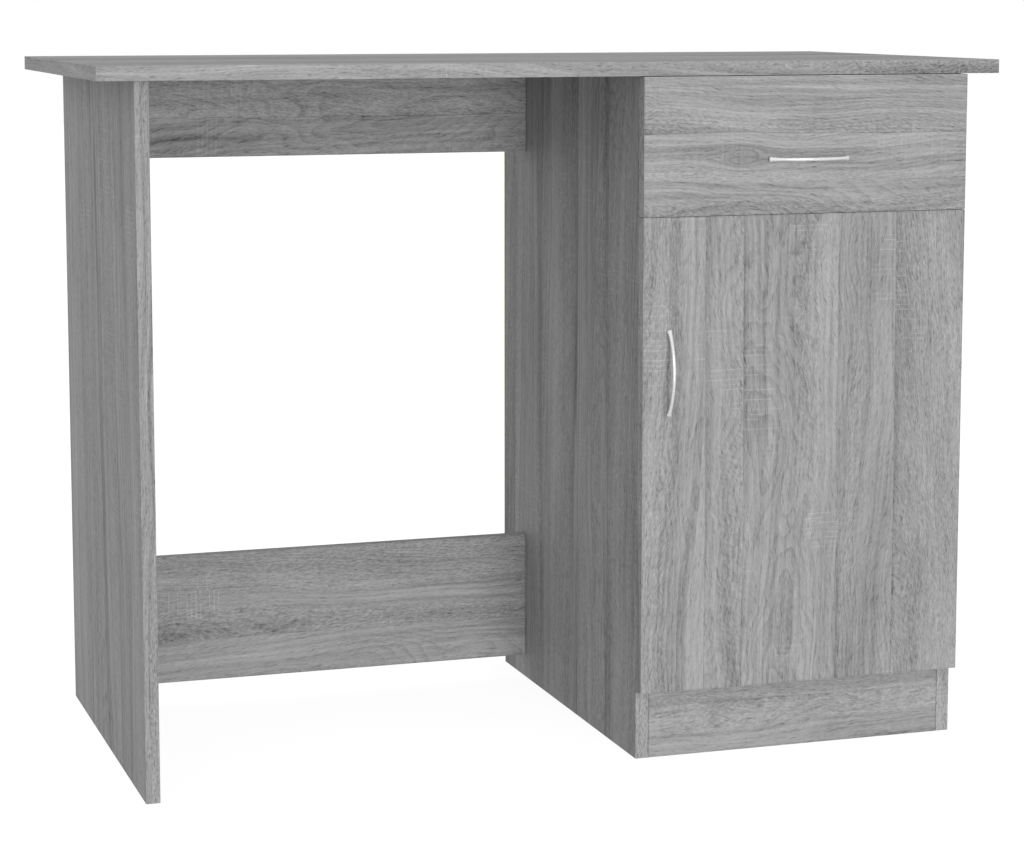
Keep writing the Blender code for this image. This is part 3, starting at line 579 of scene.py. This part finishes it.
plainFinishes = {
    "drawer_box_board": {"colour": (0.50, 0.50, 0.50), "stretch": (900, 900, 900), "drift": 0.04,
                         "grain": 0.05, "roughness": 0.5, "bump": 0.00004},
    "hardboard": {"colour": (0.44, 0.31, 0.20), "stretch": (260, 420, 260), "drift": 0.12, "grain": 0.30,
                  "roughness": 0.75, "bump": 0.0002},
    "handle_nickel": {"colour": (0.94, 0.94, 0.93), "stretch": (300, 900, 900), "drift": 0.02, "grain": 0.03,
                      "roughness": 0.30, "metallic": 0.72, "bump": 0.000002},
    "hinge_nickel": {"colour": (0.72, 0.71, 0.69), "stretch": (500, 500, 1400), "drift": 0.06, "grain": 0.08,
                     "roughness": 0.30, "metallic": 1.0, "bump": 0.00002},
    "zinc_fittings": {"colour": (0.60, 0.61, 0.63), "stretch": (800, 800, 800), "drift": 0.10, "grain": 0.14,
                      "roughness": 0.42, "metallic": 1.0, "bump": 0.00003},
    "runner_steel": {"colour": (0.78, 0.78, 0.76), "stretch": (700, 700, 700), "drift": 0.03, "grain": 0.04,
                     "roughness": 0.38, "bump": 0.00003},
    "roller_nylon": {"colour": (0.82, 0.82, 0.78), "stretch": (900, 300, 300), "drift": 0.03, "grain": 0.04,
                     "roughness": 0.45, "bump": 0.00002},
}
finishes = {name: plainMaterial(name, look) for name, look in plainFinishes.items()}
finishes.update({name: oakMaterial(name, look) for name, look in boards.items()})
print("finishes made")


# Every CAD node takes its finish: the boards their own oak, the rest by their slot

slotOf = {part["node"]: part["material_slot"] for part in frame["record"]["subparts"]}


def dress(thing, key):
    thing.data.materials.clear()
    thing.data.materials.append(finishes[key])


for nodeName, thing in cadNodes.items():
    dress(thing, nodeName if nodeName in boards else slotOf[nodeName])


# Modelling helpers: one piece is active at a time, and its faces are picked by place

def pick(thing):
    selectNone()
    thing.select_set(True)
    bpy.context.view_layer.objects.active = thing


def edit(mode):
    # goes into edit mode with nothing selected
    bpy.ops.object.mode_set(mode="EDIT")
    bpy.ops.mesh.select_mode(type=mode)
    bpy.ops.mesh.select_all(action="DESELECT")
    bpy.ops.object.mode_set(mode="OBJECT")


def selectFaces(thing, wanted):
    edit("FACE")
    for face in thing.data.polygons:
        face.select = wanted(face)
    bpy.ops.object.mode_set(mode="EDIT")


def selectEdges(thing, wanted):
    edit("EDGE")
    points = thing.data.vertices
    for line in thing.data.edges:
        line.select = wanted(points[line.vertices[0]].co, points[line.vertices[1]].co)
    bpy.ops.object.mode_set(mode="EDIT")


def leaveEdit():
    bpy.ops.object.mode_set(mode="OBJECT")


def roundEdges(thing, width, steps=2, angle=35):
    pick(thing)
    bevel = thing.modifiers.new("roundEdges", "BEVEL")
    bevel.width = width
    bevel.segments = steps
    bevel.limit_method = "ANGLE"
    bevel.angle_limit = math.radians(angle)
    bpy.ops.object.modifier_apply(modifier=bevel.name)
    bpy.ops.object.shade_smooth_by_angle(angle=math.radians(angle))


def standIn(thing, name, nodeName, body, slot):
    thing.name = name
    thing.data.name = name
    dress(thing, slot)
    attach(thing, body)
    if nodeName:
        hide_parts(nodeName)


def bodyOf(nodeName):
    return next(name for name, names in frame["record"]["behaviour"]["bodies"].items() if nodeName in names)


# Bow handles: an oval rod, thicker at its ends, bent to an arc and cut off flush with the front

handle = {
    "sides": 24,
    "stations": 48,
    "broad": 0.0018,       # half the rod's width
    "thin": 0.00155,       # half its thickness
    "swell": 1.40,         # how much thicker its ends are
    "swellReach": 0.016,
    "arc": 0.0990,         # length of the rod before it is bent
    "bend": 74,
    "endRound": 0.00025,
    "endPart": 0.040,      # beyond this from its middle the rod counts as an end
    "bentBack": 0.008,     # ends this far behind the middle mean that it was bent the wrong way
}


def makeHandle(name, nodeName, upright):
    low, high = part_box(nodeName)
    middle = (low + high) / 2
    selectNone()
    bpy.ops.mesh.primitive_cylinder_add(vertices=handle["sides"], radius=1, depth=handle["arc"],
                                        rotation=(0, math.radians(90), 0), location=(0, 0, 0))
    rod = bpy.context.object
    rod.scale = (handle["broad"], handle["thin"], 1)
    bpy.ops.object.transform_apply(location=False, rotation=True, scale=True)
    selectEdges(rod, lambda a, b: abs(a.x - b.x) > handle["arc"] / 2)
    bpy.ops.mesh.subdivide(number_cuts=handle["stations"] - 1)
    leaveEdit()
    stations = sorted({round(point.co.x, 6) for point in rod.data.vertices})  # along the rod
    for x in stations:
        toEnd = handle["arc"] / 2 - abs(x)
        share = max(0.0, 1 - toEnd / handle["swellReach"])
        if share > 0:
            growth = 1 + (handle["swell"] - 1) * share * share
            edit("VERT")
            for point in rod.data.vertices:
                point.select = abs(point.co.x - x) < 0.00001
            bpy.ops.object.mode_set(mode="EDIT")
            bpy.ops.transform.resize(value=(1, growth, growth), center_override=(x, 0, 0))
            leaveEdit()
    bend = rod.modifiers.new("bow", "SIMPLE_DEFORM")
    bend.deform_method = "BEND"
    bend.deform_axis = "Z"
    bend.angle = math.radians(handle["bend"])
    bpy.ops.object.modifier_apply(modifier=bend.name)
    ends = [point.co.y for point in rod.data.vertices if abs(point.co.x) > handle["endPart"]]
    if min(ends) < -handle["bentBack"]:
        rod.rotation_euler.x = math.pi  # the bow is to stand out along -Y
        bpy.ops.object.transform_apply(location=False, rotation=True, scale=False)
    if upright:
        rod.rotation_euler.y = math.radians(90)
        bpy.ops.object.transform_apply(location=False, rotation=True, scale=False)
    outermost = min(point.co.y for point in rod.data.vertices)
    rod.location = (middle.x, low.y - outermost, middle.z)
    bpy.ops.object.transform_apply(location=True, rotation=False, scale=False)
    edit("FACE")
    bpy.ops.object.mode_set(mode="EDIT")
    bpy.ops.mesh.select_all(action="SELECT")
    bpy.ops.mesh.bisect(plane_co=(0, high.y, 0), plane_no=(0, 1, 0), use_fill=True, clear_outer=True)
    bpy.ops.mesh.select_all(action="SELECT")
    bpy.ops.mesh.normals_make_consistent(inside=False)
    leaveEdit()
    roundEdges(rod, handle["endRound"])
    standIn(rod, name, nodeName, bodyOf(nodeName), "handle_nickel")


makeHandle("drawer_bow_handle", "drawer_handle", False)
makeHandle("door_bow_handle", "door_handle", True)
print("handles made")


# Screws: a domed head with a cross recess, modelled once for each size and copied

screws = {
    "plate": {"radius": 0.0034, "height": 0.0012, "dome": 0.0007, "recess": 0.0042, "slot": 0.0009,
              "deep": 0.0008, "taper": 0.6},
    "runner": {"radius": 0.0030, "height": 0.0009, "dome": 0.0005, "recess": 0.0036, "slot": 0.0008,
               "deep": 0.0006, "taper": 0.6},
}


def makeScrewHead(look):
    # stands on the origin, with its recess upwards
    selectNone()
    bpy.ops.mesh.primitive_cylinder_add(vertices=24, radius=look["radius"], depth=look["height"],
                                        location=(0, 0, look["height"] / 2))
    head = bpy.context.object
    bpy.ops.object.transform_apply(location=True, rotation=False, scale=False)
    selectFaces(head, lambda face: face.normal.z > 0.9)
    bpy.ops.mesh.bevel(offset=look["dome"], segments=4, affect="EDGES")
    leaveEdit()
    for turn in (45, 135):
        selectNone()
        bpy.ops.mesh.primitive_cube_add(size=1, location=(0, 0, look["height"]),
                                        rotation=(0, 0, math.radians(turn)))
        blade = bpy.context.object
        blade.scale = (look["recess"], look["slot"], look["deep"] * 2)
        bpy.ops.object.transform_apply(location=True, rotation=True, scale=True)
        selectFaces(blade, lambda face: face.normal.z < -0.9)
        bpy.ops.transform.resize(value=(look["taper"], look["taper"], 1))
        leaveEdit()
        pick(head)
        recess = head.modifiers.new("recess", "BOOLEAN")
        recess.object = blade
        recess.solver = "EXACT"
        bpy.ops.object.modifier_apply(modifier=recess.name)
        bpy.data.objects.remove(blade)
    pick(head)
    bpy.ops.object.shade_smooth_by_angle(angle=math.radians(35))
    return head


def copyTo(master, spot, facing, turn=0.0):
    # a copy with its own mesh, set on spot with its top towards facing, and its place kept in the mesh
    twin = bpy.data.objects.new(master.name, master.data.copy())
    bpy.context.scene.collection.objects.link(twin)
    twin.rotation_mode = "QUATERNION"
    twin.rotation_quaternion = Vector(facing).to_track_quat("Z", "Y")
    twin.location = spot
    pick(twin)
    bpy.ops.object.transform_apply(location=True, rotation=True, scale=True)
    twin.rotation_mode = "XYZ"
    if turn:
        bpy.ops.object.mode_set(mode="EDIT")
        bpy.ops.mesh.select_all(action="SELECT")
        axis = max("XYZ", key=lambda name: abs(Vector(facing)["XYZ".index(name)]))
        bpy.ops.transform.rotate(value=turn, orient_axis=axis, center_override=spot)
        leaveEdit()
    return twin


screwHeads = {key: makeScrewHead(look) for key, look in screws.items()}


# how far the cross of each screw is turned, in radians
turns = cycle([0.3, 1.1, 0.7, 1.4, 0.1, 0.9, 0.5, 1.2, 0.2, 0.8, 1.5, 0.6, 1.0, 0.4, 1.3, 0.05])


def screwAt(name, key, spot, facing, body):
    twin = copyTo(screwHeads[key], spot, facing, next(turns))
    standIn(twin, name, None, body, "zinc_fittings")


hingeScrews = {
    "plateInset": 0.007,   # from the plate's front edge
    "plateSpread": 0.013,
    "cupInset": 0.0112,    # from the cup flange's free edge
    "cupSpread": 0.0225,
    "armInset": 0.013,
}

for level in ("lower", "upper"):
    plateLow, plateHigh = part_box("hinge_plate_" + level)
    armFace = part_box("hinge_arm_" + level)[0].x
    cupLow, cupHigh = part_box("hinge_cup_" + level)
    hingeHeight = (plateLow.z + plateHigh.z) / 2
    for side, way in (("below", -1), ("above", 1)):
        z = hingeHeight + way * hingeScrews["plateSpread"]
        spot = (plateLow.x, plateLow.y + hingeScrews["plateInset"], z)
        screwAt(f"hinge_plate_screw_{level}_{side}", "plate", spot, (-1, 0, 0), "root")
        z = hingeHeight + way * hingeScrews["cupSpread"]
        spot = (cupLow.x + hingeScrews["cupInset"], cupHigh.y, z)
        screwAt(f"hinge_cup_screw_{level}_{side}", "plate", spot, (0, 1, 0), "door")
    spot = (armFace, plateLow.y + hingeScrews["armInset"], hingeHeight)
    screwAt(f"hinge_arm_screw_{level}", "plate", spot, (-1, 0, 0), "root")

runnerScrews = {
    "places": (0.11, 0.22, 0.33),  # from the runner's front end
    "sheet": 0.001,
    "gap": 0.0003,                 # between the drawer's side and its rail
    "toMiddle": 0.0103,
    "drawerRise": 0.0045,
}
for side, way in (("left", 1), ("right", -1)):
    low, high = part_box("cabinet_runner_" + side)
    wall = low.x if way > 0 else high.x
    for number, along in enumerate(runnerScrews["places"], 1):
        spot = (wall + way * runnerScrews["sheet"], low.y + along, low.z + runnerScrews["toMiddle"])
        screwAt(f"cabinet_runner_screw_{side}_{number}", "runner", spot, (way, 0, 0), "root")
    sideLow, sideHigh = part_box("drawer_side_" + side)
    wood = sideLow.x if way > 0 else sideHigh.x
    face = wood - way * (runnerScrews["sheet"] + runnerScrews["gap"])
    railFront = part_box("drawer_runner_" + side)[0].y
    for number, along in enumerate(runnerScrews["places"], 1):
        spot = (face, railFront + along, sideLow.z + runnerScrews["drawerRise"])
        screwAt(f"drawer_runner_screw_{side}_{number}", "runner", spot, (-way, 0, 0), "drawer")
for head in screwHeads.values():
    bpy.data.objects.remove(head)
print("screws made")


# Nails round the back panel: small flat heads, a little off their line as hammered in

nails = {"radius": 0.0017, "height": 0.0005, "inset": 0.0070, "rows": 7, "columns": 3, "drift": 0.0009}
selectNone()
bpy.ops.mesh.primitive_cylinder_add(vertices=16, radius=nails["radius"], depth=nails["height"],
                                    location=(0, 0, nails["height"] / 2))
nailHead = bpy.context.object
bpy.ops.object.transform_apply(location=True, rotation=False, scale=False)
selectFaces(nailHead, lambda face: face.normal.z > 0.9)
bpy.ops.mesh.bevel(offset=nails["height"] * 0.5, segments=2, affect="EDGES")
leaveEdit()
pick(nailHead)
bpy.ops.object.shade_smooth_by_angle(angle=math.radians(35))
low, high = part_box("back_panel")
nailPlaces = []
for row in range(nails["rows"]):
    z = low.z + nails["inset"] + (high.z - low.z - 2 * nails["inset"]) * row / (nails["rows"] - 1)
    nailPlaces += [(low.x + nails["inset"], z), (high.x - nails["inset"], z)]
for column in range(1, nails["columns"] + 1):
    x = low.x + (high.x - low.x) * column / (nails["columns"] + 1)
    nailPlaces += [(x, low.z + nails["inset"]), (x, high.z - nails["inset"])]
for number, (x, z) in enumerate(nailPlaces, 1):
    drift = nails["drift"] * math.sin(number * 2.4)
    twin = copyTo(nailHead, (x + drift, high.y, z - drift), (0, 1, 0))
    standIn(twin, f"back_nail_{number:02d}", None, "root", "zinc_fittings")
bpy.data.objects.remove(nailHead)
print("nails made")


# Soft buffers that the door and the drawer front close on

buffers = {"radius": 0.0040, "height": 0.0008, "inset": 0.0075, "rise": 0.030}


def makeBuffer(name, nodeName, body, x, z):
    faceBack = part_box(nodeName)[1].y
    selectNone()
    bpy.ops.mesh.primitive_cylinder_add(vertices=28, radius=buffers["radius"], depth=buffers["height"],
                                        rotation=(math.radians(-90), 0, 0),
                                        location=(x, faceBack + buffers["height"] / 2, z))
    disc = bpy.context.object
    bpy.ops.object.transform_apply(location=True, rotation=True, scale=True)
    selectFaces(disc, lambda face: face.normal.y > 0.9)
    bpy.ops.mesh.bevel(offset=buffers["height"] * 0.6, segments=3, affect="EDGES")
    leaveEdit()
    pick(disc)
    bpy.ops.object.shade_smooth_by_angle(angle=math.radians(35))
    standIn(disc, name, None, body, "roller_nylon")


low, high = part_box("door_panel")
left = low.x + buffers["inset"]
makeBuffer("door_buffer_lower", "door_panel", "door", left, low.z + buffers["rise"])
makeBuffer("door_buffer_upper", "door_panel", "door", left, high.z - buffers["rise"])
low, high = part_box("drawer_front")
z = low.z + buffers["rise"]
makeBuffer("drawer_buffer_left", "drawer_front", "drawer", low.x + buffers["inset"], z)
makeBuffer("drawer_buffer_right", "drawer_front", "drawer", high.x - buffers["inset"], z)
print("buffers made")


# Pressed and turned metal keeps its CAD shape, with softly rounded edges

softened = {
    "hinge_cup": 0.00025, "hinge_arm": 0.00030, "hinge_plate": 0.00035, "hinge_link": 0.00025,
    "hinge_arm_pin": 0.00020, "hinge_cup_pin": 0.00020, "cabinet_roller": 0.00035, "drawer_roller": 0.00035,
    "cabinet_runner": 0.00020, "drawer_runner": 0.00020, "shelf_pin": 0.00030,
}


def soften(nodeName, width):
    source = cadNodes[nodeName]
    twin = bpy.data.objects.new(nodeName, source.data.copy())
    bpy.context.scene.collection.objects.link(twin)
    pick(twin)
    bpy.ops.object.mode_set(mode="EDIT")
    bpy.ops.mesh.select_all(action="SELECT")
    bpy.ops.mesh.remove_doubles(threshold=0.000005)
    bpy.ops.mesh.dissolve_limited(angle_limit=math.radians(0.5))
    leaveEdit()
    roundEdges(twin, width)
    standIn(twin, nodeName + "_finished", nodeName, bodyOf(nodeName), slotOf[nodeName])


for nodeName in list(cadNodes):
    kinds = [kind for kind in softened if nodeName.startswith(kind)]
    if kinds:
        soften(nodeName, softened[max(kinds, key=len)])
print("metal parts softened")
